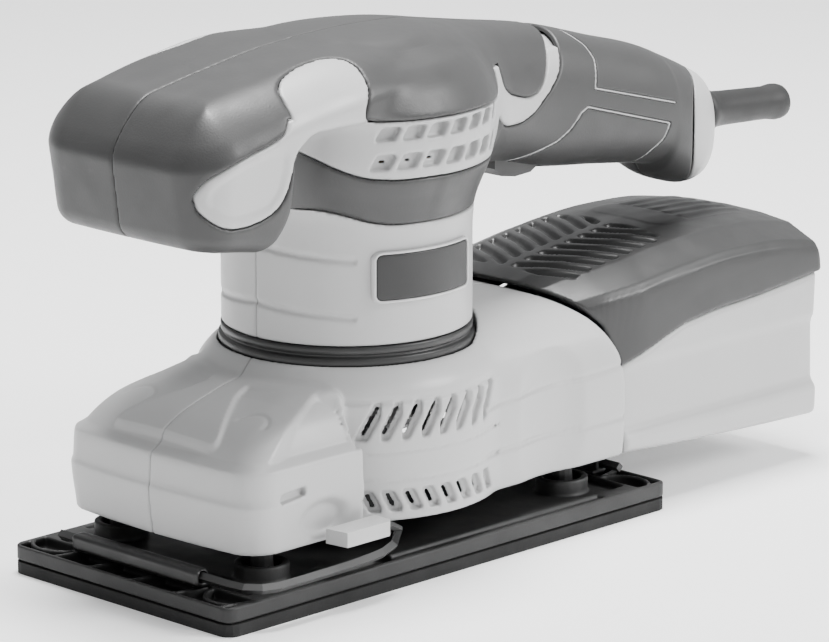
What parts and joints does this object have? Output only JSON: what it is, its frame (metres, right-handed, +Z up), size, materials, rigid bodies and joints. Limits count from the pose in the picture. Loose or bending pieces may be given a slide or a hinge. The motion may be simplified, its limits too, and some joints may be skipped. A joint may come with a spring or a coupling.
{
  "type": "orbital sander",
  "caption": "Third-sheet orbital palm sander with overmoulded nose grip and rear handle, vented motor barrel, skirted orbiting platen with wire paper clamps and slide-off rear dust box",
  "frame": {"origin": "centre of the sanding face, under the motor's axis", "axes": "+X from the nose grip to the tail and the dust box, +Y to the tool's right-hand side, +Z up from the sanding face"},
  "size_m": [0.293, 0.1036, 0.157],
  "materials": {
    "light_shell": "light grey moulded plastic, fine satin texture",
    "grip_rubber": "dark grey soft-touch overmould, satin",
    "black_rubber": "black rubber, matt",
    "dark_plastic": "dark grey moulded plastic, satin",
    "black_plastic": "black glass-filled plastic, satin",
    "lid_plastic": "dark grey moulded plastic, semi-gloss",
    "pad_foam": "dense black foam, matt",
    "filter_fabric": "pleated filter cloth, matt",
    "lamination_steel": "stacked steel laminations, satin",
    "copper": "enamelled copper, satin",
    "carbon": "pressed carbon, matt",
    "steel": "zinc-plated steel, satin"
  },
  "bodies": {
    "housing": {"housing_left": "light_shell", "housing_right": "light_shell", "grip_front_left": "grip_rubber", "grip_front_right": "grip_rubber", "grip_middle_left": "grip_rubber", "grip_middle_right": "grip_rubber", "grip_rear_left": "grip_rubber", "grip_rear_right": "grip_rubber", "handle_end_cap": "light_shell", "cord_guard": "black_rubber", "body_collar": "dark_plastic", "name_plate": "dark_plastic", "shroud_left": "light_shell", "shroud_right": "light_shell", "bearing_bracket": "dark_plastic", "lower_bearing": "steel", "upper_bearing": "steel", "stator_core": "lamination_steel", "field_coil_front": "copper", "field_coil_rear": "copper", "brush_holder_left": "black_plastic", "brush_holder_right": "black_plastic", "carbon_brush_left": "carbon", "carbon_brush_right": "carbon", "switch_module": "black_plastic", "suppression_capacitor": "black_plastic", "cord_clamp": "black_plastic", "leg_1": "black_rubber", "leg_2": "black_rubber", "leg_3": "black_rubber", "leg_4": "black_rubber", "housing_screw_1": "steel", "housing_screw_2": "steel", "housing_screw_3": "steel", "housing_screw_4": "steel"},
    "rotor": {"motor_shaft": "steel", "armature_core": "lamination_steel", "armature_winding": "copper", "commutator": "copper", "cooling_fan": "black_plastic", "counterweight": "steel"},
    "platen": {"platen": "black_plastic", "sanding_pad": "pad_foam", "crank_bearing": "steel"},
    "clamp_front": {"clamp_wire_front": "steel", "clamp_jaw_front": "steel", "clamp_tab_front": "light_shell"},
    "clamp_rear": {"clamp_wire_rear": "steel", "clamp_jaw_rear": "steel", "clamp_tab_rear": "light_shell"},
    "trigger": {"trigger": "dark_plastic"},
    "dust_box": {"dust_box_body": "light_shell", "dust_filter": "filter_fabric"},
    "dust_lid": {"dust_box_lid": "lid_plastic"}
  },
  "joints": [
    {"name": "rotor_spin", "type": "hinge", "parent": "housing", "child": "rotor", "pos_m": [0, 0, 0.1], "axis": [0, 0, 1], "continuous": true},
    {"name": "platen_orbit", "type": "hinge", "parent": "rotor", "child": "platen", "pos_m": [0.001, 0, 0.026], "axis": [0, 0, 1], "continuous": true},
    {"name": "clamp_front_lift", "type": "hinge", "parent": "platen", "child": "clamp_front", "pos_m": [-0.084, 0, 0.0122], "axis": [0, -1, 0], "range_deg": [0, 30]},
    {"name": "clamp_rear_lift", "type": "hinge", "parent": "platen", "child": "clamp_rear", "pos_m": [0.084, 0, 0.0122], "axis": [0, 1, 0], "range_deg": [0, 30]},
    {"name": "trigger_press", "type": "slide", "parent": "housing", "child": "trigger", "axis": [0, 0, 1], "range_m": [0, 0.003], "stiffness_N_per_m": 500, "springref_m": -0.002},
    {"name": "dust_box_slide", "type": "slide", "parent": "housing", "child": "dust_box", "axis": [1, 0, 0], "range_m": [0, 0.06]},
    {"name": "dust_lid_lift", "type": "hinge", "parent": "dust_box", "child": "dust_lid", "pos_m": [0.1734, 0, 0.0604], "axis": [0, 1, 0], "range_deg": [0, 6]}
  ],
  "couplings": [
    {"joint": "platen_orbit", "follows": "rotor_spin", "ratio": -1}
  ]
}
